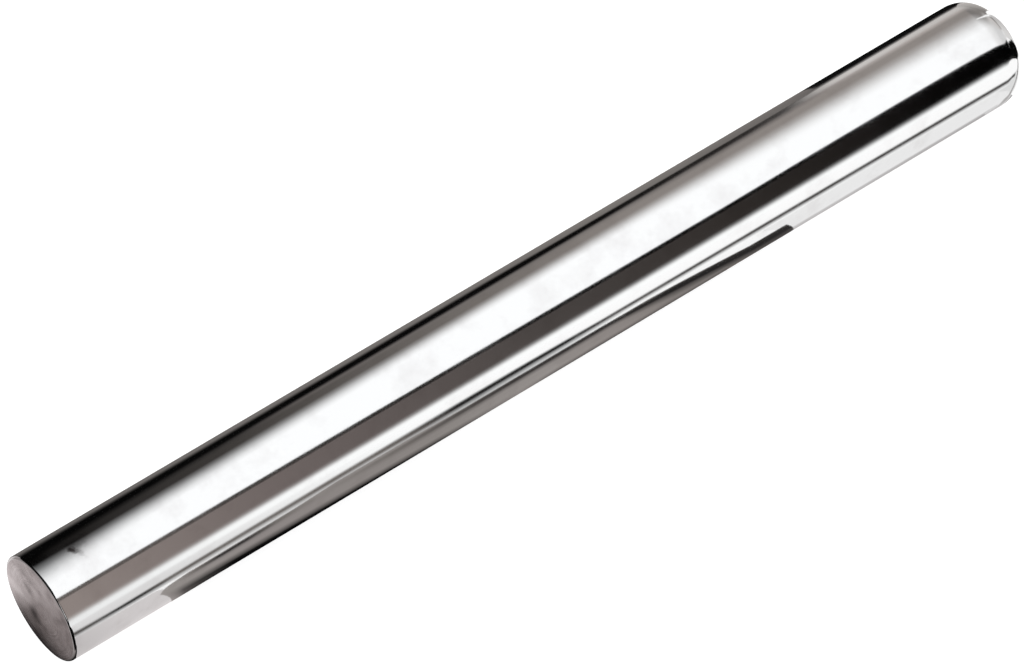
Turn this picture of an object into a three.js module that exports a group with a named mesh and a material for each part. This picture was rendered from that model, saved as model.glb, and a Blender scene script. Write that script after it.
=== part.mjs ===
// Straight, handle-less rolling pin of stainless steel, closed at both ends.
// A drawn tube is the roller. A turned cap closes each end: its spigot pilots in the bore, its shoulder
// seats on the end of the tube, and a weld fills the V groove between them. The weld is dressed flush,
// and the whole outside is polished, so it wears down a little beside each cap.
// The left cap is a flat disc with a slightly rounded rim. The right cap is domed: a wide round edge
// about a small flat.
// Millimetres, +Z up. The pin lies along X, with the middle of its axis at the origin.
import * as THREE from "three";

// Outside of the pin
const PIN_LENGTH = 410;
const ROLLER_DIAMETER = 40;
const RIM_RADIUS = 1;
const DOME_RADIUS = 12;

// Tube
const TUBE_WALL = 2;
const BORE_CHAMFER = 0.3;

// Caps: the web is the thickness behind the face, and the land is the straight outside before the shoulder
const CAP_WEB = 3;
const FLANGE_LAND = 2;
const SPIGOT_LENGTH = 7;
const SPIGOT_WALL = 2.5;
const SPIGOT_LEAD_IN = 0.8;
const FLAT_BACK_FILLET = 1.5;
const DOMED_BACK_FILLET = 7;

// Weld groove: the land is what the bevels leave of the wall at the root of the groove
const ROOT_LAND = 0.8;
const BEVEL_ANGLE = THREE.MathUtils.degToRad(35);
const BEAD_ROOT_WIDTH = 0.2;

// End polishing: how far past the weld it reaches along the tube, and how much it takes off at the cap
const POLISH_REACH = 5;
const POLISH_DROP = 0.06;

// Clearances between neighbouring pieces
const SPIGOT_CLEARANCE = 0.1;
const SEAT_CLEARANCE = 0.1;
const WELD_CLEARANCE = 0.1;

// Round pieces share one count of flats, and flats face straight up, down and sideways
const ROUND_FLATS = 72;
const RIM_STEPS = 6;
const DOME_STEPS = 14;
const FLAT_FILLET_STEPS = 4;
const DOMED_FILLET_STEPS = 8;
const POLISH_STEPS = 4;

// Sizes that follow from the ones above
const rollerRadius = ROLLER_DIAMETER / 2;
const boreRadius = rollerRadius - TUBE_WALL;
const spigotRadius = boreRadius - SPIGOT_CLEARANCE;
const spigotBore = spigotRadius - SPIGOT_WALL;
const rootRadius = boreRadius + ROOT_LAND;
const bevelWidth = (TUBE_WALL - ROOT_LAND) * Math.tan(BEVEL_ANGLE);

// The two ends of the pin. Distances are from the end face: the shoulder of the cap, the bevels of cap
// and tube, and the stretch that polishing has worn.
const flatEnd = endSizes(RIM_RADIUS, RIM_STEPS, FLAT_BACK_FILLET, FLAT_FILLET_STEPS);
const domedEnd = endSizes(DOME_RADIUS, DOME_STEPS, DOMED_BACK_FILLET, DOMED_FILLET_STEPS);

function endSizes(edgeRadius, edgeSteps, backFillet, filletSteps) {
  const shoulder = edgeRadius + FLANGE_LAND;
  const tubeStart = shoulder + SEAT_CLEARANCE;
  const tubeBevelTop = tubeStart + bevelWidth;
  return {
    edgeRadius,
    edgeSteps,
    backFillet,
    filletSteps,
    shoulder,
    capBevelTop: shoulder - bevelWidth,
    tubeStart,
    tubeBevelTop,
    wornFrom: edgeRadius - RIM_RADIUS,
    wornTo: tubeBevelTop + POLISH_REACH,
  };
}

// Outer radius at a distance from the end face: polishing wears the end down along a parabola.
function polishedRadius(end, fromFace) {
  const worn = Math.max(0, (end.wornTo - fromFace) / (end.wornTo - end.wornFrom));
  return rollerRadius - POLISH_DROP * worn * worn;
}

// Points of the polished outside from one distance to another, both ends included.
function polishedRun(end, from, to, steps) {
  const run = [];
  for (let i = 0; i <= steps; i++) {
    const fromFace = from + ((to - from) * i) / steps;
    run.push([fromFace, polishedRadius(end, fromFace)]);
  }
  return run;
}

// Quarter arc of a profile about a centre, from one angle to another.
function arc(centre, radius, fromAngle, toAngle, steps) {
  const run = [];
  for (let i = 0; i <= steps; i++) {
    const angle = fromAngle + ((toAngle - fromAngle) * i) / steps;
    const along = centre[0] + radius * Math.cos(angle);
    const out = centre[1] + radius * Math.sin(angle);
    run.push([along, out]);
  }
  return run;
}

// Solid turned about the local Y axis from points of [distance along the axis, radius]. The flats touch
// the true circle, so the size across flats is the drawn diameter.
function turned(profile) {
  const acrossFlats = 1 / Math.cos(Math.PI / ROUND_FLATS);
  const points = profile.map(([along, radius]) => new THREE.Vector2(radius * acrossFlats, along));
  return new THREE.LatheGeometry(points, ROUND_FLATS, Math.PI / ROUND_FLATS);
}

function mirrorSteel() {
  return new THREE.MeshStandardMaterial({ color: 0xdadbdc, metalness: 1, roughness: 0.06 });
}

function turnedSteel() {
  return new THREE.MeshStandardMaterial({ color: 0xb5aeaa, metalness: 1, roughness: 0.35 });
}

// One end of the roller's wall, from the bore to where the outside is no longer worn.
function tubeEnd(end) {
  return [
    [end.tubeStart + BORE_CHAMFER, boreRadius],
    [end.tubeStart, boreRadius + BORE_CHAMFER],
    [end.tubeStart, rootRadius],
    ...polishedRun(end, end.tubeBevelTop, end.wornTo, POLISH_STEPS),
  ];
}

// The roller: a bevelled tube that stops short of both end faces by a cap and its seat.
function rollerTube() {
  const half = PIN_LENGTH / 2;
  const left = tubeEnd(flatEnd).map(([fromFace, radius]) => [fromFace - half, radius]);
  const right = tubeEnd(domedEnd).map(([fromFace, radius]) => [half - fromFace, radius]).reverse();
  const mesh = new THREE.Mesh(turned([...left, ...right, left[0]]), mirrorSteel());
  mesh.name = "roller_tube";
  mesh.rotation.z = -Math.PI / 2;
  return mesh;
}

// A cap, with its end face at zero and its spigot along local +Y.
function endCap(name, end, steel) {
  const edgeCentre = [end.edgeRadius, polishedRadius(end, end.edgeRadius) - end.edgeRadius];
  const spigotEnd = end.shoulder + SPIGOT_LENGTH;
  const filletCentre = [CAP_WEB + end.backFillet, spigotBore - end.backFillet];
  const profile = [
    [0, 0],
    ...arc(edgeCentre, end.edgeRadius, Math.PI, Math.PI / 2, end.edgeSteps),
    ...polishedRun(end, end.edgeRadius, end.capBevelTop, 2).slice(1),
    [end.shoulder, rootRadius],
    [end.shoulder, spigotRadius],
    [spigotEnd - SPIGOT_LEAD_IN, spigotRadius],
    [spigotEnd, spigotRadius - SPIGOT_LEAD_IN],
    [spigotEnd, spigotBore],
    ...arc(filletCentre, end.backFillet, Math.PI / 2, Math.PI, end.filletSteps),
    [CAP_WEB, 0],
  ];
  const mesh = new THREE.Mesh(turned(profile), steel);
  mesh.name = name;
  return mesh;
}

// The closing weld: a wedge between the two bevels, dressed flush with the polished outside.
function weldRing(name, end) {
  const middle = end.shoulder + SEAT_CLEARANCE / 2;
  const sideClearance = WELD_CLEARANCE / Math.cos(BEVEL_ANGLE);
  const halfWidthAt = (radius) =>
    SEAT_CLEARANCE / 2 + (radius - rootRadius) * Math.tan(BEVEL_ANGLE) - sideClearance;
  const rootHalf = BEAD_ROOT_WIDTH / 2;
  const beadRoot = rootRadius + (rootHalf - SEAT_CLEARANCE / 2 + sideClearance) / Math.tan(BEVEL_ANGLE);
  const topHalf = halfWidthAt(polishedRadius(end, middle));
  const profile = [
    [middle - rootHalf, beadRoot],
    ...polishedRun(end, middle - topHalf, middle + topHalf, 2),
    [middle + rootHalf, beadRoot],
    [middle - rootHalf, beadRoot],
  ];
  const mesh = new THREE.Mesh(turned(profile), mirrorSteel());
  mesh.name = name;
  return mesh;
}

// One closed end: cap and weld, turned so that local +Y points along the pin, away from the face.
function closedEnd(side, faceX, end, steel) {
  const group = new THREE.Group();
  group.add(endCap(side + "_end_cap", end, steel), weldRing(side + "_weld_ring", end));
  group.position.x = faceX;
  group.rotation.z = (Math.sign(faceX) * Math.PI) / 2;
  return group;
}

const rollingPin = new THREE.Group();
rollingPin.add(rollerTube());
rollingPin.add(closedEnd("left", -PIN_LENGTH / 2, flatEnd, turnedSteel()));
rollingPin.add(closedEnd("right", PIN_LENGTH / 2, domedEnd, mirrorSteel()));

export default rollingPin;
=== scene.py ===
"""Handle-less stainless steel rolling pin: polished roller, flat cap, domed cap and their dressed welds.

The pieces are surfaces of revolution about X, worked out from the same sizes as the solids they stand for.
A light tent of curved panels, and patches on the floor, are seen in the steel alone and give it its bands.
"""
import math

import bpy
import numpy as np
from mathutils import Matrix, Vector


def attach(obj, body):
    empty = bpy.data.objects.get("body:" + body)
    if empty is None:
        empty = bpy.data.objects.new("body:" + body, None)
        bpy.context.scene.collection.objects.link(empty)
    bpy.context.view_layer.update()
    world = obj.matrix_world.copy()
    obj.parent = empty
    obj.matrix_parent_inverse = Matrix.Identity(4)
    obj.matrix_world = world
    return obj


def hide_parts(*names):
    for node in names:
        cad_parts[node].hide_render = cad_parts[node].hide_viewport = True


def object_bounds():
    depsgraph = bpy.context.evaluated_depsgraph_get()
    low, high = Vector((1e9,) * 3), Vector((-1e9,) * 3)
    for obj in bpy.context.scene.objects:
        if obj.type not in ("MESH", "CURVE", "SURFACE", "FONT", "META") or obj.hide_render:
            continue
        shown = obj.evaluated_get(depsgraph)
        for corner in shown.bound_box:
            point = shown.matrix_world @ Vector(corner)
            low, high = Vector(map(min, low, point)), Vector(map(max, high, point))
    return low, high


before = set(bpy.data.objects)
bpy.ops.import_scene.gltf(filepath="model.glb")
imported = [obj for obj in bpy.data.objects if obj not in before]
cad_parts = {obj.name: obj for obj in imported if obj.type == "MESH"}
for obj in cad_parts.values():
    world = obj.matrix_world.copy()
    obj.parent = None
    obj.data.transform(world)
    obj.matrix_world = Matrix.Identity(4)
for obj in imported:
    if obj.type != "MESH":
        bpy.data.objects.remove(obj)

MM = 0.001
cad_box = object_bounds()

# Sizes of the pin, in metres: length and diameter come from the solids, the rest repeats their values
HALF_LENGTH = cad_box[1][0]
ROLLER_RADIUS = cad_box[1][2]
FLOOR_Z = cad_box[0][2]
RIM_RADIUS = 1.0 * MM
DOME_RADIUS = 12.0 * MM
TUBE_WALL = 2.0 * MM
BORE_CHAMFER = 0.3 * MM
CAP_WEB = 3.0 * MM
FLANGE_LAND = 2.0 * MM
SPIGOT_LENGTH = 7.0 * MM
SPIGOT_WALL = 2.5 * MM
SPIGOT_LEAD_IN = 0.8 * MM
FLAT_BACK_FILLET = 1.5 * MM
DOMED_BACK_FILLET = 7.0 * MM
SPIGOT_CLEARANCE = 0.1 * MM
SEAT_CLEARANCE = 0.1 * MM
ROOT_LAND = 0.8 * MM
BEVEL_ANGLE = math.radians(35)
POLISH_REACH = 5.0 * MM
POLISH_DROP = 0.06 * MM

# Sizes that follow from the ones above
BORE_RADIUS = ROLLER_RADIUS - TUBE_WALL
SPIGOT_RADIUS = BORE_RADIUS - SPIGOT_CLEARANCE
SPIGOT_BORE = SPIGOT_RADIUS - SPIGOT_WALL
ROOT_RADIUS = BORE_RADIUS + ROOT_LAND
BEVEL_WIDTH = (TUBE_WALL - ROOT_LAND) * math.tan(BEVEL_ANGLE)

# Points round the pin and along the curved parts of a profile, and the angle from which an edge is sharp
TURNS = 288
RIM_POINTS = 18
DOME_POINTS = 60
FILLET_POINTS = 10
WORN_POINTS = 14
LAND_POINTS = 5
SHARP_ANGLE = math.radians(20)

# End faces: a ring this far inside the round edge, and how near to the end of the pin a face counts as one
FACE_INSET = 0.1 * MM
FACE_TOLERANCE = 0.001 * MM

# Share of the light that the polished steel gives back
STEEL_REFLECTS = 0.70

# Light tent: a half tunnel about the pin, with its stations along X and its limits in degrees
TENT_RADIUS = 0.9
TENT_X = np.concatenate([[-1.6, -0.6], np.linspace(-0.2, 0.8, 41), [1.05, 1.25, 1.5, 2.0, 3.0, 6.0]])
TENT_BACK = -3
TENT_FRONT = 184
TENT_ROWS = 25

# Floor: patches lie on it in thin layers, where a higher layer covers a lower one
FLOOR_REACH = 8.0
LAYER = 0.1 * MM
PATCH_ROWS = 17

# Share of a panel's second colours, by V, where they come in evenly
EVEN = ((0, 0), (1, 1))


def linear(hex_colour):
    """An sRGB hex colour as linear red, green, blue and an alpha of one."""
    srgb = np.array([int(hex_colour[i : i + 2], 16) for i in (1, 3, 5)]) / 255
    low, high = srgb / 12.92, ((srgb + 0.055) / 1.055) ** 2.4
    return (*np.where(srgb <= 0.04045, low, high).tolist(), 1.0)


def add(tree, kind, settings=None, **inputs):
    """Adds one shader node: its settings, then its inputs by socket name or i0, i1, each a value or a link.

    The setting "stops" fills a colour ramp with (position, hex colour) pairs, "spots" a curve with points.
    """
    made = tree.nodes.new(kind)
    for name, value in (settings or {}).items():
        if name == "stops":
            for position, _ in value[1:-1]:
                made.color_ramp.elements.new(position)
            for element, (position, colour) in zip(made.color_ramp.elements, value):
                element.position, element.color = position, linear(colour)
        elif name == "spots":
            for spot in value[1:-1]:
                made.mapping.curves[0].points.new(*spot)
            for point, spot in zip(made.mapping.curves[0].points, value):
                point.location, point.handle_type = spot, "VECTOR"
            made.mapping.update()
        else:
            setattr(made, name, value)
    for name, value in inputs.items():
        indexed = name[0] == "i" and name[1:].isdigit()
        socket = made.inputs[int(name[1:]) if indexed else name.replace("_", " ")]
        if isinstance(value, bpy.types.NodeSocket):
            tree.links.new(value, socket)
        else:
            socket.default_value = value
    return made


def new_material(name):
    """A material and its empty node tree."""
    made = bpy.data.materials.new(name)
    made.use_nodes = True
    made.node_tree.nodes.clear()
    return made, made.node_tree


def mesh_object(name, points, faces, materials):
    """A mesh object at the origin, smooth where neighbouring faces nearly agree."""
    mesh = bpy.data.meshes.new(name)
    mesh.from_pydata(points.tolist(), [], faces)
    for material in materials:
        mesh.materials.append(material)
    mesh.polygons.foreach_set("use_smooth", np.ones(len(mesh.polygons), dtype=bool))
    mesh.set_sharp_from_angle(angle=SHARP_ANGLE)
    mesh.update()
    made = bpy.data.objects.new(name, mesh)
    bpy.context.scene.collection.objects.link(made)
    return made


def revolve(name, profile, materials):
    """Surface of revolution about X: profile point (x, r) at angle t goes to (x, r cos t, r sin t).

    A profile that starts and ends on the axis closes there in two poles, and any other closes on its own
    first point. It runs along +X on the outside, so that faces point outwards.
    """
    poled = profile[0, 1] == 0
    rings = profile[1:-1] if poled else profile
    count = len(rings)
    angle = np.linspace(0, 2 * np.pi, TURNS, endpoint=False)
    x = np.repeat(rings[:, :1], TURNS, axis=1)
    grid = np.stack([x, rings[:, 1:] * np.cos(angle), rings[:, 1:] * np.sin(angle)], axis=-1)
    here = np.arange(TURNS)
    after = np.roll(here, -1)
    row = np.arange(count - 1 if poled else count)[:, None] * TURNS
    next_row = (row + TURNS) % (count * TURNS)
    corners = [row + here, row + after, next_row + after, next_row + here]
    points = grid.reshape(-1, 3)
    faces = np.stack(corners, axis=-1).reshape(-1, 4).tolist()
    if poled:
        first, last = len(points), len(points) + 1
        points = np.concatenate([points, [[profile[0, 0], 0, 0], [profile[-1, 0], 0, 0]]])
        end = (count - 1) * TURNS
        start_fan = np.stack([np.full(TURNS, first), after, here], axis=-1)
        end_fan = np.stack([np.full(TURNS, last), end + here, end + after], axis=-1)
        faces += start_fan.tolist() + end_fan.tolist()
    return mesh_object(name, points, faces, materials)


def end_sizes(side, edge_radius, edge_points, back_fillet):
    """Sizes of one end, as distances from its face: shoulder, bevels and the stretch worn by polishing."""
    shoulder = edge_radius + FLANGE_LAND
    tube_start = shoulder + SEAT_CLEARANCE
    bevel_top = tube_start + BEVEL_WIDTH
    return {
        "side": side, "edge": edge_radius, "edge_points": edge_points, "fillet": back_fillet,
        "shoulder": shoulder, "cap_bevel": shoulder - BEVEL_WIDTH, "tube_start": tube_start,
        "tube_bevel": bevel_top, "worn_from": edge_radius - RIM_RADIUS, "worn_to": bevel_top + POLISH_REACH,
    }


def polished_run(end, start, stop, count):
    """Outside of the pin between two distances from an end face.

    Radius is the roller's, less a drop that grows as the square of how far polishing has worn the end.
    """
    from_face = np.linspace(start, stop, count)
    worn = np.clip((end["worn_to"] - from_face) / (end["worn_to"] - end["worn_from"]), 0, None)
    return np.stack([from_face, ROLLER_RADIUS - POLISH_DROP * worn**2], axis=-1)


def arc(centre, radius, start, stop, count):
    """Circular arc of a profile: centre plus the radius times (cosine, sine) of the angle."""
    angle = np.linspace(start, stop, count)
    return np.asarray(centre) + radius * np.stack([np.cos(angle), np.sin(angle)], axis=-1)


def placed(profile, side):
    """A profile given by distance from an end face, moved to the left (-1) or right (+1) end."""
    moved = np.stack([side * (HALF_LENGTH - profile[:, 0]), profile[:, 1]], axis=-1)
    return moved if side < 0 else moved[::-1]


def tube_end(end):
    """One end of the tube wall: bore chamfer, bevel and worn outside."""
    start = end["tube_start"]
    bevel = [[start + BORE_CHAMFER, BORE_RADIUS], [start, BORE_RADIUS + BORE_CHAMFER], [start, ROOT_RADIUS]]
    worn = polished_run(end, end["tube_bevel"], end["worn_to"], WORN_POINTS)
    return placed(np.concatenate([bevel, worn]), end["side"])


def roller_tube(left, right, material):
    """Tube wall as a closed loop: left end, straight roller, right end, and the bore back to the start."""
    return revolve("polished_roller", np.concatenate([tube_end(left), tube_end(right)]), [material])


def end_cap(name, end, face_material, edge_material):
    """Cap from the middle of its face: flat face, round edge, polished land, bevel, spigot, hollow back."""
    worn = polished_run(end, end["edge"], end["cap_bevel"], LAND_POINTS)
    edge_centre = (end["edge"], worn[0, 1] - end["edge"])
    fillet_centre = (CAP_WEB + end["fillet"], SPIGOT_BORE - end["fillet"])
    spigot_end = end["shoulder"] + SPIGOT_LENGTH
    profile = np.concatenate([
        [[0, 0], [0, edge_centre[1] - FACE_INSET]],
        arc(edge_centre, end["edge"], np.pi, np.pi / 2, end["edge_points"]),
        worn[1:],
        [[end["shoulder"], ROOT_RADIUS], [end["shoulder"], SPIGOT_RADIUS]],
        [[spigot_end - SPIGOT_LEAD_IN, SPIGOT_RADIUS], [spigot_end, SPIGOT_RADIUS - SPIGOT_LEAD_IN]],
        [[spigot_end, SPIGOT_BORE]],
        arc(fillet_centre, end["fillet"], np.pi / 2, np.pi, FILLET_POINTS),
        [[CAP_WEB, 0]],
    ])
    made = revolve(name, placed(profile, end["side"]), [face_material, edge_material])
    middle = np.empty(len(made.data.polygons) * 3)
    made.data.polygons.foreach_get("center", middle)
    off_face = np.abs(middle.reshape(-1, 3)[:, 0]) < HALF_LENGTH - FACE_TOLERANCE
    made.data.polygons.foreach_set("material_index", off_face.astype(np.int32))
    return made


def weld(name, end, material):
    """Weld that fills the V groove: flush outside between the two bevels, narrowing to the root."""
    outside = polished_run(end, end["cap_bevel"], end["tube_bevel"], LAND_POINTS)
    root = [[end["tube_start"], ROOT_RADIUS], [end["shoulder"], ROOT_RADIUS]]
    return revolve(name, placed(np.concatenate([outside, root]), end["side"]), [material])


# Stainless steel, mirror polished: gives back most of what it sees, with a breath of grey haze, hair-fine
# polishing lines around it and a small dark mark in a grey cloud near one end. The lines are about 0.05 mm
# apart in a real polish and are drawn at 0.4 mm, each about 17 mm long.
def mirror_polished_stainless():
    line_spacing = 0.4 * MM
    line_length = 1 / 60
    haze_size = 14 * MM
    smudge_size = 3 * MM
    mark_at = (14.8 * MM - HALF_LENGTH, 0.7 * MM, ROLLER_RADIUS - 0.01 * MM)
    made, tree = new_material("mirror_polished_stainless_steel")
    place = add(tree, "ShaderNodeTexCoord").outputs["Object"]
    lines_at = add(tree, "ShaderNodeMapping", Vector=place,
                   Scale=(1 / line_spacing, 1 / line_length, 1 / line_length))
    lines = add(tree, "ShaderNodeTexNoise", Vector=lines_at.outputs[0], Scale=1.0, Detail=2.0)
    haze = add(tree, "ShaderNodeTexNoise", Vector=place, Scale=1 / haze_size, Detail=4.0, Roughness=0.6)
    fine = add(tree, "ShaderNodeTexNoise", Vector=place, Scale=1 / smudge_size, Detail=3.0)
    from_mark = add(tree, "ShaderNodeVectorMath", {"operation": "DISTANCE"}, i0=place, i1=mark_at)
    ragged = add(tree, "ShaderNodeMath", {"operation": "MULTIPLY_ADD"}, i0=fine.outputs[0], i1=smudge_size,
                 i2=from_mark.outputs["Value"])
    mark = add(tree, "ShaderNodeMapRange", Value=ragged.outputs[0], From_Min=1.6 * MM, From_Max=3.6 * MM,
               To_Min=-0.4, To_Max=0.0)
    cloud = add(tree, "ShaderNodeMapRange", Value=ragged.outputs[0], From_Min=2.5 * MM, From_Max=12 * MM,
                To_Min=-0.32, To_Max=0.0)
    soiled = add(tree, "ShaderNodeMath", {"operation": "ADD"}, i0=mark.outputs[0], i1=cloud.outputs[0])
    clean = add(tree, "ShaderNodeMath", {"operation": "ADD"}, i0=haze.outputs[0], i1=soiled.outputs[0])
    greys = [(0.0, "#565150"), (0.25, "#d2d1d1"), (0.5, "#dcdcdc")]
    tint = add(tree, "ShaderNodeValToRGB", {"stops": greys}, Fac=clean.outputs[0])
    rough = add(tree, "ShaderNodeMapRange", Value=haze.outputs[0], From_Min=0.45, From_Max=0.8, To_Min=0.09,
                To_Max=0.13)
    bump = add(tree, "ShaderNodeBump", Height=lines.outputs[0], Strength=0.02, Distance=0.02 * MM)
    steel = add(tree, "ShaderNodeBsdfPrincipled", Base_Color=tint.outputs[0], Metallic=1.0,
                Roughness=rough.outputs[0], Normal=bump.outputs[0])
    add(tree, "ShaderNodeOutputMaterial", Surface=steel.outputs[0])
    return made


# Stainless steel, faced on a lathe: a satin pale grey disc with rings from the tool, dull stains and one
# dark spot. The feed is about 0.2 mm a turn and is drawn at 0.7 mm, so that the rings show.
def turned_stainless():
    ring_spacing = 0.7 * MM
    stain_size = 8 * MM
    spot_at = (0, 3.7 * MM, -6.4 * MM)
    made, tree = new_material("lathe_turned_stainless_steel")
    place = add(tree, "ShaderNodeTexCoord").outputs["Object"]
    axes = add(tree, "ShaderNodeSeparateXYZ", Vector=place)
    across = add(tree, "ShaderNodeCombineXYZ", Y=axes.outputs["Y"], Z=axes.outputs["Z"])
    radius = add(tree, "ShaderNodeVectorMath", {"operation": "LENGTH"}, i0=across.outputs[0])
    ring = add(tree, "ShaderNodeTexNoise", {"noise_dimensions": "1D"}, W=radius.outputs["Value"],
               Scale=1 / ring_spacing, Detail=3.0)
    stain = add(tree, "ShaderNodeTexNoise", Vector=place, Scale=1 / stain_size, Detail=4.0, Roughness=0.6)
    from_spot = add(tree, "ShaderNodeVectorMath", {"operation": "DISTANCE"}, i0=across.outputs[0], i1=spot_at)
    clean = add(tree, "ShaderNodeMapRange", Value=from_spot.outputs["Value"], From_Min=0.8 * MM,
                From_Max=5.0 * MM, To_Min=0.3, To_Max=1.0)
    worn = add(tree, "ShaderNodeMath", {"operation": "MULTIPLY"}, i0=stain.outputs[0], i1=clean.outputs[0])
    tone = add(tree, "ShaderNodeMath", {"operation": "MULTIPLY_ADD"}, i0=ring.outputs[0], i1=0.25,
               i2=worn.outputs[0])
    rough = add(tree, "ShaderNodeMapRange", Value=ring.outputs[0], From_Min=0.3, From_Max=0.7, To_Min=0.22,
                To_Max=0.34)
    bump = add(tree, "ShaderNodeBump", Height=ring.outputs[0], Strength=0.25, Distance=0.05 * MM)
    greys = [(0.25, "#504a49"), (0.55, "#c2bbbb"), (0.8, "#e2dddd")]
    tint = add(tree, "ShaderNodeValToRGB", {"stops": greys}, Fac=tone.outputs[0])
    direction = add(tree, "ShaderNodeTangent", {"direction_type": "RADIAL", "axis": "X"})
    steel = add(tree, "ShaderNodeBsdfPrincipled", Base_Color=tint.outputs[0], Metallic=1.0,
                Roughness=rough.outputs[0], Anisotropic=0.4, Normal=bump.outputs[0],
                Tangent=direction.outputs[0])
    add(tree, "ShaderNodeOutputMaterial", Surface=steel.outputs[0])
    return made


# Paper, matt and pale: an even ground, partly lit from within so that the contact shadow stays faint.
def matt_paper():
    made, tree = new_material("pale_paper_floor")
    matt = add(tree, "ShaderNodeBsdfDiffuse", Color=linear("#c4c4c4"))
    glow = add(tree, "ShaderNodeEmission", Color=linear("#ffffff"), Strength=0.8)
    both = add(tree, "ShaderNodeAddShader", i0=matt.outputs[0], i1=glow.outputs[0])
    add(tree, "ShaderNodeOutputMaterial", Surface=both.outputs[0])
    return made


def light_panel(name, first, second=None, blend=EVEN):
    """An emitting panel: colours along X as (metres, hex), going over to the second ones across it.

    Blend gives the share of the second colours by V. The light makes up for what the polished steel
    swallows, so a colour given here is the one that shows in the roller.
    """
    made, tree = new_material(name)
    place = add(tree, "ShaderNodeSeparateXYZ", Vector=add(tree, "ShaderNodeUVMap").outputs[0])
    glows = []
    for colours in [first, second] if second else [first]:
        start, stop = colours[0][0], colours[-1][0]
        along = add(tree, "ShaderNodeMapRange", Value=place.outputs["X"], From_Min=start, From_Max=stop)
        stops = [((x - start) / (stop - start), colour) for x, colour in colours]
        colour = add(tree, "ShaderNodeValToRGB", {"stops": stops}, Fac=along.outputs[0])
        glows.append(add(tree, "ShaderNodeEmission", Color=colour.outputs[0], Strength=1 / STEEL_REFLECTS))
    shown = glows[0]
    if second:
        share = add(tree, "ShaderNodeFloatCurve", {"spots": blend}, Value=place.outputs["Y"])
        shown = add(tree, "ShaderNodeMixShader", Fac=share.outputs[0], i1=glows[0].outputs[0],
                    i2=glows[1].outputs[0])
    add(tree, "ShaderNodeOutputMaterial", Surface=shown.outputs[0])
    return made


def even_tone(colour):
    """Colours along X that are the same all the way."""
    return [(0.0, colour), (1.0, colour)]


def sheet(name, grid, along, material, in_steel_only=True):
    """A stage sheet from a grid of points: U is the place along X of each column, V runs 0 to 1 by rows."""
    rows, columns = grid.shape[:2]
    index = np.arange(rows * columns).reshape(rows, columns)
    corners = [index[:-1, :-1], index[:-1, 1:], index[1:, 1:], index[1:, :-1]]
    quads = np.stack(corners, axis=-1).reshape(-1, 4)
    made = mesh_object(name, grid.reshape(-1, 3), quads.tolist(), [material])
    u, v = np.meshgrid(along, np.linspace(0, 1, rows))
    uv = np.stack([u, v], axis=-1).reshape(-1, 2)
    corner = np.empty(len(made.data.loops), dtype=np.int32)
    made.data.loops.foreach_get("vertex_index", corner)
    made.data.uv_layers.new(name="UVMap").data.foreach_set("uv", uv[corner].ravel())
    if in_steel_only:
        made.visible_camera = False
        made.visible_diffuse = False
        made.visible_shadow = False


def tent_edge(stations):
    """Edge of a tent panel: degrees at each TENT_X, in straight lines between (x, degrees) stations."""
    x, degrees = np.array(stations).T
    return np.interp(TENT_X, x, degrees)


def tent_panel(name, start, stop, material):
    """Part of a half tunnel about X between two angles, in degrees from +Y towards +Z, level or by TENT_X."""
    angle = np.radians(start + (stop - start) * np.linspace(0, 1, TENT_ROWS)[:, None])
    y, z = TENT_RADIUS * np.cos(angle), TENT_RADIUS * np.sin(angle)
    sheet(name, np.stack(np.broadcast_arrays(TENT_X, y, z), axis=-1), TENT_X, material)


def floor_patch(name, inner, outer, layer, material, along=None):
    """Flat patch just above the floor, ruled between an inner edge (x, y), by the pin, and an outer one."""
    inner, outer = np.array(inner), np.array(outer)
    flat = inner + (outer - inner) * np.linspace(0, 1, PATCH_ROWS)[:, None, None]
    grid = np.concatenate([flat, np.full_like(flat[..., :1], FLOOR_Z + layer * LAYER)], axis=-1)
    sheet(name, grid, inner[:, 0] if along is None else along, material)


def floor_line(name, course, layer, material):
    """Strip on the floor along a course of (x, y, reach): its edges lie that reach square to either side."""
    course = np.array(course)
    middle = course[:, :2]
    run = np.gradient(middle, axis=0)
    run /= np.linalg.norm(run, axis=1, keepdims=True)
    reach = course[:, 2:] * np.stack([-run[:, 1], run[:, 0]], axis=-1)
    floor_patch(name, middle + reach, middle - reach, layer, material, along=course[:, 0])


def standing_card(name, foot, top, material):
    """Upright card on the floor: its foot runs through (x, y) stations, and it reaches up to the top."""
    x, y = np.array(foot).T
    z = np.array([[FLOOR_Z], [top]])
    sheet(name, np.stack(np.broadcast_arrays(x, y, z), axis=-1), x, material)


# The pin
mirror = mirror_polished_stainless()
turned = turned_stainless()
flat_end = end_sizes(-1, RIM_RADIUS, RIM_POINTS, FLAT_BACK_FILLET)
domed_end = end_sizes(1, DOME_RADIUS, DOME_POINTS, DOMED_BACK_FILLET)
pieces = [
    (roller_tube(flat_end, domed_end, mirror), "roller_tube", "mirror_polished_stainless"),
    (end_cap("left_turned_cap", flat_end, turned, mirror), "left_end_cap", "turned_stainless"),
    (end_cap("right_domed_cap", domed_end, mirror, mirror), "right_end_cap", "mirror_polished_stainless"),
    (weld("left_dressed_weld", flat_end, mirror), "left_weld_ring", "mirror_polished_stainless"),
    (weld("right_dressed_weld", domed_end, mirror), "right_weld_ring", "mirror_polished_stainless"),
]
for piece, node, slot in pieces:
    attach(piece, "root")
    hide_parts(node)

# Floor
span = np.array([-FLOOR_REACH, FLOOR_REACH])
floor = np.stack(np.broadcast_arrays(span[None, :], span[:, None], FLOOR_Z), axis=-1)
sheet("floor", floor, span, matt_paper(), in_steel_only=False)

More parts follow.
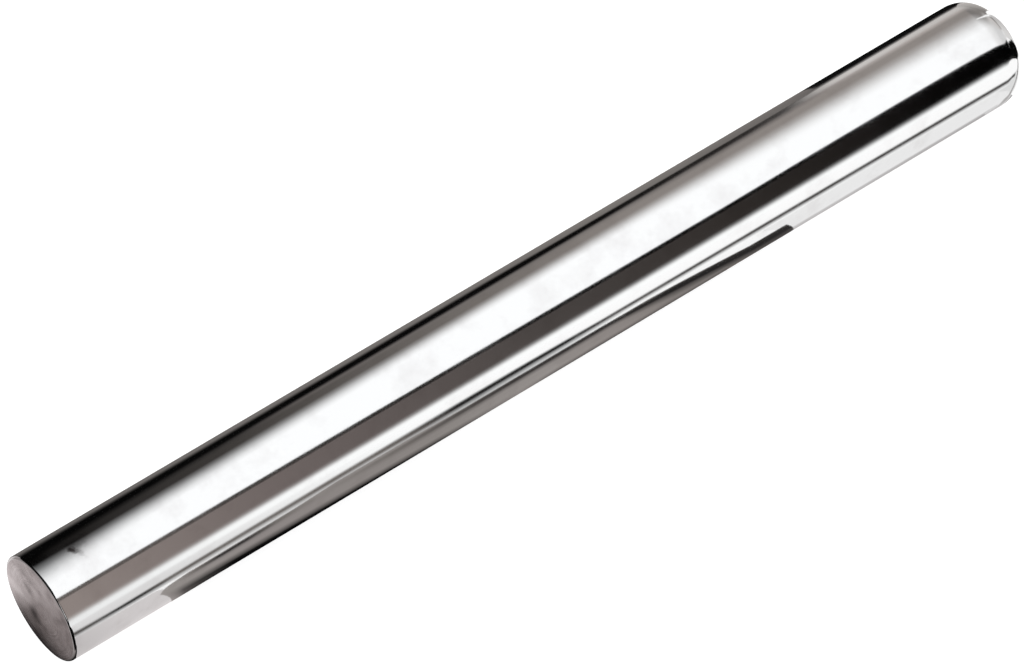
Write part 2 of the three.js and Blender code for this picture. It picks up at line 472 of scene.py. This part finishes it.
# Edges of the tent's soft box, of the dark rim in front of it, and of the white card, in degrees
RIM_WIDTH = 7
CARD_FADE = 13.5
box_foot = tent_edge([(0.085, 92), (0.125, 75), (0.34, 64), (0.42, 66), (0.52, 82), (0.61, 87)])
box_edge = tent_edge([(0.09, 120.6), (0.20, 122.2), (0.34, 124.9), (0.46, 127.7), (0.52, 125.9),
                      (0.60, 126.5), (0.64, 129.2), (1.23, 133), (2.3, 141)])
card_start = tent_edge([(0.15, 160.5), (0.6, 163.2), (1.05, 171.5), (1.5, TENT_FRONT)])
card_full = np.minimum(card_start + CARD_FADE, TENT_FRONT)

# Colours of the tent along X
foot = [(0.0, "#040404"), (0.42, "#080808"), (0.53, "#2e2b2a"), (0.55, "#c8c4c1"), (0.71, "#b4b0ad"),
        (1.0, "#8e8a87"), (1.3, "#7c7875")]
low_wall = [(0.09, "#020202"), (0.20, "#302e2d"), (0.24, "#605b59"), (0.40, "#787370"), (0.535, "#686361"),
            (0.55, "#9b9491"), (0.61, "#aca5a1"), (0.85, "#868280"), (1.3, "#7c7875"), (1.95, "#bcb9b7")]
high_wall = [(0.085, "#020202"), (0.125, "#2a2827"), (0.20, "#3c3937"), (0.42, "#857f7b"),
             (0.61, "#8c8682"), (0.75, "#767270"), (1.3, "#7e7a77"), (1.95, "#c0bdbb")]
white = [(0.6, "#fbfcfd"), (1.0, "#e6e6e6"), (2.0, "#d0d0d0")]
rim = [(0.087, "#5c5653"), (0.193, "#332f2d"), (0.342, "#0e0d0d"), (0.417, "#000000")]
opening = [(0.087, "#8b817d"), (0.193, "#6d6462"), (0.342, "#494442"), (0.468, "#2d2927"),
           (0.572, "#0a0909"), (0.604, "#000000")]
card = [(0.087, "#e6e7e7"), (0.17, "#f6f7f7"), (0.3, "#fbfcfc")]
wall_blend = [(0, 0), (0.25, 0.17), (0.5, 0.48), (0.75, 0.8), (1, 1)]
card_blend = [(0, 0), (0.3, 0.12), (0.5, 0.36), (0.8, 0.85), (1, 1)]

# Light tent over the pin, from behind it to its front: each panel starts where the one before it stops
start = TENT_BACK
for name, stop, first, second, blend in [
    ("tent_foot", 9, foot, None, EVEN),
    ("foot_fade", 17, foot, low_wall, EVEN),
    ("low_wall", 25, low_wall, high_wall, EVEN),
    ("high_wall", 38, high_wall, None, EVEN),
    ("wall_fade", box_foot, high_wall, white, wall_blend),
    ("overhead_softbox", box_edge, white, None, EVEN),
    ("opening_rim", box_edge + RIM_WIDTH, rim, None, EVEN),
    ("front_opening", card_start, opening, None, EVEN),
    ("front_card_fade", card_full, opening, card, card_blend),
    ("front_card", TENT_FRONT, card, None, EVEN),
]:
    tent_panel(name, start, stop, light_panel(name + "_light", first, second, blend))
    start = stop

# Dark screens beyond the left end, with a gap between them
SCREEN_X = -0.7
SCREEN_TOP = 1.2
black = light_panel("black_light", even_tone("#040404"))
standing_card("left_screen", [(SCREEN_X, 1.2), (SCREEN_X, -0.2)], SCREEN_TOP, black)
standing_card("left_front_screen", [(SCREEN_X, -0.42), (SCREEN_X, -1.2)], SCREEN_TOP, black)

# White streamer beyond the domed end: bearing, rise and half width in degrees, from the middle of the dome
STREAMER_DISTANCE = 0.85
streamer = np.radians([(27.5, -4, 1.6), (28.5, 12, 1.5), (30.2, 26, 1.4), (34, 36, 1.4), (43, 48, 1.2)])
bearing = streamer[:, :1] + streamer[:, 2:] * [1, -1]
rise = streamer[:, 1:2] * [1, 1]
sight = np.stack([np.cos(rise) * np.cos(bearing), np.cos(rise) * np.sin(bearing), np.sin(rise)], axis=-1)
sheet("right_streamer", [HALF_LENGTH, 0, 0] + STREAMER_DISTANCE * sight, [0, 1],
      light_panel("streamer_light", even_tone("#f6f6f6")))

# Floor behind the pin: grey beside it and black further out, and black to pale behind its far end
floor_patch("black_floor", [(-1.6, 0), (0.128, 0)], [(-1.2, 0.95), (0.555, 0.95)], 1, black)
grey_floor = [(-0.2, "#63605e"), (-0.117, "#6d6967"), (0.05, "#74706d"), (0.128, "#686462")]
floor_patch(
    "grey_floor",
    [(-0.30, 0), (-0.20, 0), (-0.117, 0), (-0.011, 0), (0.043, 0), (0.117, 0), (0.128, 0)],
    [(-0.2, 0.27), (-0.115, 0.27), (0.01, 0.36), (0.17, 0.45), (0.43, 0.9), (1.04, 2.0), (1.05, 2.0)],
    2, light_panel("grey_floor_light", grey_floor, even_tone("#040404"),
                   [(0, 0), (0.28, 0.05), (0.4, 0.5), (0.6, 0.88), (1, 1)]))
floor_patch(
    "far_floor", [(0.128, 0), (0.215, 0.02)], [(0.565, 0.95), (0.66, 0.95)],
    2, light_panel("far_floor_light", even_tone("#0a0a0a"), even_tone("#c4c0bd"),
                   [(0, 0), (0.16, 0), (0.25, 0.15), (0.5, 0.5), (1, 1)]))

# Floor beyond the domed end: grey behind, a white gap, pale beside it, and black towards the front
floor_patch(
    "grey_beyond", [(0.215, 0.02), (0.24, 0.034)], [(0.66, 0.95), (1.75, 0.95)],
    3, light_panel("grey_beyond_light", [(0.215, "#b0aca9"), (0.23, "#8a8683"), (0.24, "#74706e")]))
floor_patch(
    "pale_beyond", [(0.22, -0.004), (0.3, 0), (3.0, 0)], [(0.22, 0.011), (0.3, 0.056), (3.0, 1.53)],
    3, light_panel("pale_beyond_light", even_tone("#d6d5d4"), even_tone("#b8b6b5"),
                   [(0, 0), (0.35, 0.2), (0.7, 1), (1, 0.9)]))
floor_patch(
    "dome_pale", [(0.205, -0.022), (0.24, -0.022)], [(0.205, -0.055), (0.24, -0.055)],
    3, light_panel("dome_pale_light", even_tone("#d8d8d8")))
floor_patch(
    "black_beyond",
    [(0.236, 0.004), (0.250, 0.004), (0.276, 0.006), (0.342, -0.004), (0.425, -0.011), (0.72, -0.05),
     (3.0, -0.4)],
    [(0.236, -0.004), (0.250, -0.018), (0.276, -0.034), (0.342, -0.08), (0.425, -0.145), (0.72, -0.4),
     (3.0, -2.4)],
    7, black)
# Painted contact shadow: a dark soft line on the floor round the foot of the dome, seen as its dark outline
outline = [(0.190, "#b0aeae"), (0.207, "#9c9a99"), (0.220, "#8a8887"), (0.232, "#5a5857"),
           (0.247, "#2a2929")]
floor_line(
    "dome_foot_shadow",
    [(0.190, -0.0165, 0.002), (0.197, -0.0175, 0.0025), (0.201, -0.022, 0.003), (0.207, -0.0265, 0.003),
     (0.216, -0.0285, 0.003), (0.224, -0.028, 0.0035), (0.232, -0.026, 0.004), (0.241, -0.021, 0.004),
     (0.247, -0.015, 0.004)],
    8, light_panel("dome_outline_light", even_tone("#f2f2f2"), outline,
                   [(0, 0), (0.3, 1), (0.7, 1), (1, 0)]))

# Thin soft line on the floor in front of the pin, bending round its far end
line_side = [(-0.18, "#d0cfcf"), (-0.14, "#e4e4e4"), (-0.06, "#ececec"), (-0.03, "#f8f9f9"),
             (0.24, "#f8f9f9")]
line_dark = [(-0.2, "#55514f"), (-0.178, "#4a4745"), (-0.163, "#0a0a0a"), (-0.155, "#181717"),
             (-0.143, "#625d5a"), (-0.06, "#6a6562"), (-0.04, "#5a5552"), (-0.02, "#1a1919"),
             (0.031, "#101010"), (0.046, "#403c3b"), (0.24, "#3a3736")]
floor_line(
    "front_line",
    [(-0.24, -0.135, 0.035), (-0.178, -0.082, 0.026), (-0.160, -0.079, 0.022), (-0.116, -0.084, 0.031),
     (-0.059, -0.087, 0.040), (-0.035, -0.083, 0.048), (-0.010, -0.085, 0.046), (0.013, -0.084, 0.042),
     (0.031, -0.079, 0.030), (0.046, -0.076, 0.021), (0.142, -0.069, 0.019), (0.208, -0.064, 0.017),
     (0.223, -0.061, 0.014), (0.232, -0.053, 0.010), (0.234, -0.038, 0.008)],
    4, light_panel("front_line_light", line_side, line_dark,
                   [(0, 0), (0.2, 0.5), (0.4, 1), (0.6, 1), (0.8, 0.5), (1, 0)]))

# Shade on the floor in front: a grey body, a dark edge along its front, and a dark strip under the pin
shade = [(-0.158, "#928d8a"), (-0.12, "#8a8482"), (-0.05, "#86817e"), (0.0, "#908b88"), (0.03, "#88827f"),
         (0.065, "#787370"), (0.1, "#4c4947")]
floor_patch(
    "front_shade",
    [(-0.161, 0), (-0.1585, 0), (-0.155, 0), (-0.145, 0), (-0.1, 0), (-0.08, 0), (-0.05, 0), (-0.03, 0),
     (0.05, 0), (0.071, 0), (0.088, 0), (0.104, 0)],
    [(-0.161, -0.038), (-0.1585, -0.043), (-0.155, -0.048), (-0.145, -0.0535), (-0.1, -0.055),
     (-0.08, -0.062), (-0.05, -0.060), (-0.03, -0.053), (0.05, -0.049), (0.071, -0.0395), (0.088, -0.0325),
     (0.104, -0.0315)],
    6, light_panel("front_shade_light", shade))
shade_edge = [(-0.153, "#928d8a"), (-0.146, "#787370"), (-0.134, "#242222"), (-0.122, "#242222"),
              (-0.108, "#6e6966"), (-0.09, "#86817e"), (-0.06, "#706b68"), (-0.03, "#4a4644"),
              (-0.01, "#353231"), (0.026, "#2b2928"), (0.06, "#201f1f"), (0.1, "#282626")]
floor_patch(
    "front_shade_edge",
    [(-0.153, -0.038), (-0.1, -0.038), (-0.06, -0.033), (0.03, -0.034), (0.056, -0.020), (0.071, -0.0165),
     (0.088, -0.0125), (0.104, -0.014)],
    [(-0.153, -0.049), (-0.1, -0.055), (-0.06, -0.052), (0.03, -0.051), (0.056, -0.0463), (0.071, -0.0395),
     (0.088, -0.0325), (0.104, -0.0315)],
    7, light_panel("front_shade_edge_light", shade, shade_edge,
                   [(0, 0), (0.35, 0.6), (0.5, 1), (0.75, 1), (1, 0.6)]))
contact = [(-0.161, "#908a88"), (-0.1575, "#726d6b"), (-0.1555, "#4e4a49"), (-0.149, "#343231"),
           (-0.136, "#080808"), (-0.07, "#020202"), (-0.05, "#2c2a29"), (-0.015, "#7c7775"),
           (0.0, "#4a4644"), (0.02, "#383534"), (0.075, "#4c4947")]
floor_patch(
    "contact_shade",
    [(-0.161, 0.02), (-0.06, 0.02), (-0.02, 0.02), (0.075, 0.02)],
    [(-0.161, -0.034), (-0.06, -0.025), (-0.02, -0.022), (0.075, -0.021)],
    8, light_panel("contact_shade_light", contact, shade, [(0, 0), (0.8, 0), (1, 1)]))

# Pale floor beside either end of the pin, greyed there as painted shade of the pin, with a darker strip of
# painted contact shadow under its far end; and pale floor further out in front of its near half
# Painted shade: light grey floor where the pin's shade falls beside its flat end
near_end = [(-0.195, "#bcb8b8"), (-0.175, "#cbc7c7"), (-0.157, "#cbc7c7")]
floor_patch(
    "near_end_pale",
    [(-0.4, 0), (-0.2, 0), (-0.157, 0)],
    [(-0.4, -0.064), (-0.2, -0.062), (-0.157, -0.055)],
    5, light_panel("near_end_pale_light", near_end))
near_front = [(-0.4, "#d0cfcf"), (-0.14, "#d5d4d4"), (-0.09, "#e6e6e6"), (-0.03, "#f8f9f9")]
near_far = [(-0.4, "#dcdcdc"), (-0.14, "#e3e3e3"), (-0.09, "#f1f1f1"), (-0.03, "#f8f9f9")]
floor_patch(
    "near_front_pale",
    [(-0.4, -0.1), (-0.14, -0.1), (-0.03, -0.1)],
    [(-0.14, -0.9), (0.12, -0.9), (0.23, -0.9)],
    3, light_panel("near_front_pale_light", near_front, near_far))
# Painted contact shadow: darker grey under the pin's far end, pale further out
floor_patch(
    "far_end_pale", [(0.1, 0.02), (0.205, 0.02)], [(0.1, -0.05), (0.205, -0.05)],
    3, light_panel("far_end_pale_light", [(0.1, "#b4b2b2"), (0.2, "#9e9c9c")],
                   [(0.1, "#e7e7e7"), (0.2, "#e8e8e8")], [(0, 0), (0.55, 0), (0.6, 0.9), (1, 1)]))

# Floor beyond the flat face: pale behind its foot, black along it in front, grey further out, then dark.
# The darkening towards the foot is painted contact shadow of the pin, seen in the face
face_back = [(-0.7, "#0c0c0c"), (-0.32, "#181717"), (-0.28, "#827d7d"), (-0.224, "#888282"),
             (-0.219, "#b0abab"), (-0.214, "#d4cfcf"), (-0.2075, "#ccc7c7"), (-0.205, "#8c8786")]
# Painted contact shadow: darkens to black towards the foot of the face at its front
face_front = [(-0.7, "#0c0c0c"), (-0.32, "#181717"), (-0.28, "#8c8787"), (-0.222, "#9c9696"),
              (-0.215, "#8b8584"), (-0.210, "#726c6b"), (-0.2065, "#383534"), (-0.205, "#0c0b0b")]
floor_patch(
    "face_floor_shade", [(-0.7, 0.5), (-0.2, 0.5)], [(-0.7, -0.5), (-0.2, -0.036)],
    9, light_panel("face_floor_light", face_back, face_front, [(0, 0), (0.862, 0), (0.892, 1), (1, 1)]))
floor_patch(
    "rim_dark",
    [(-0.42, -0.05), (-0.262, -0.010), (-0.229, -0.015), (-0.215, -0.022), (-0.206, -0.034)],
    [(-0.42, -0.3), (-0.262, -0.26), (-0.229, -0.23), (-0.215, -0.225), (-0.206, -0.22)],
    10, black)

# White world, with colours shown as they are given
world = bpy.data.worlds.new("pale_studio")
world.use_nodes = True
background = world.node_tree.nodes["Background"]
background.inputs["Color"].default_value = linear("#ffffff")
background.inputs["Strength"].default_value = 1.0
bpy.context.scene.world = world
bpy.context.scene.view_settings.view_transform = "Standard"

# Camera: a long lens from the front left, above, so that the pin runs from lower left to upper right
AZIMUTH = math.radians(232.868)
ELEVATION = math.radians(51.606)
DISTANCE = 2.5672
TARGET_RIGHT = -7.38 * MM
TARGET_UP = -5.83 * MM
FOCAL_PIXELS = 7532.5
IMAGE_WIDTH = 1024
SENSOR_WIDTH = 36.0
level = math.cos(ELEVATION)
back = np.array([level * math.cos(AZIMUTH), level * math.sin(AZIMUTH), math.sin(ELEVATION)])
right = np.array([-math.sin(AZIMUTH), math.cos(AZIMUTH), 0.0])
up = np.cross(back, right)
spot = TARGET_RIGHT * right + TARGET_UP * up + DISTANCE * back
lens = bpy.data.cameras.new("photo_camera")
lens.sensor_width = SENSOR_WIDTH
lens.lens = FOCAL_PIXELS * SENSOR_WIDTH / IMAGE_WIDTH
lens.clip_end = 100.0
camera = bpy.data.objects.new("photo_camera", lens)
turn = np.eye(4)
turn[:3, :4] = np.stack([right, up, back, spot], axis=-1)
camera.matrix_world = Matrix(turn.tolist())
bpy.context.scene.collection.objects.link(camera)
bpy.context.scene.camera = camera
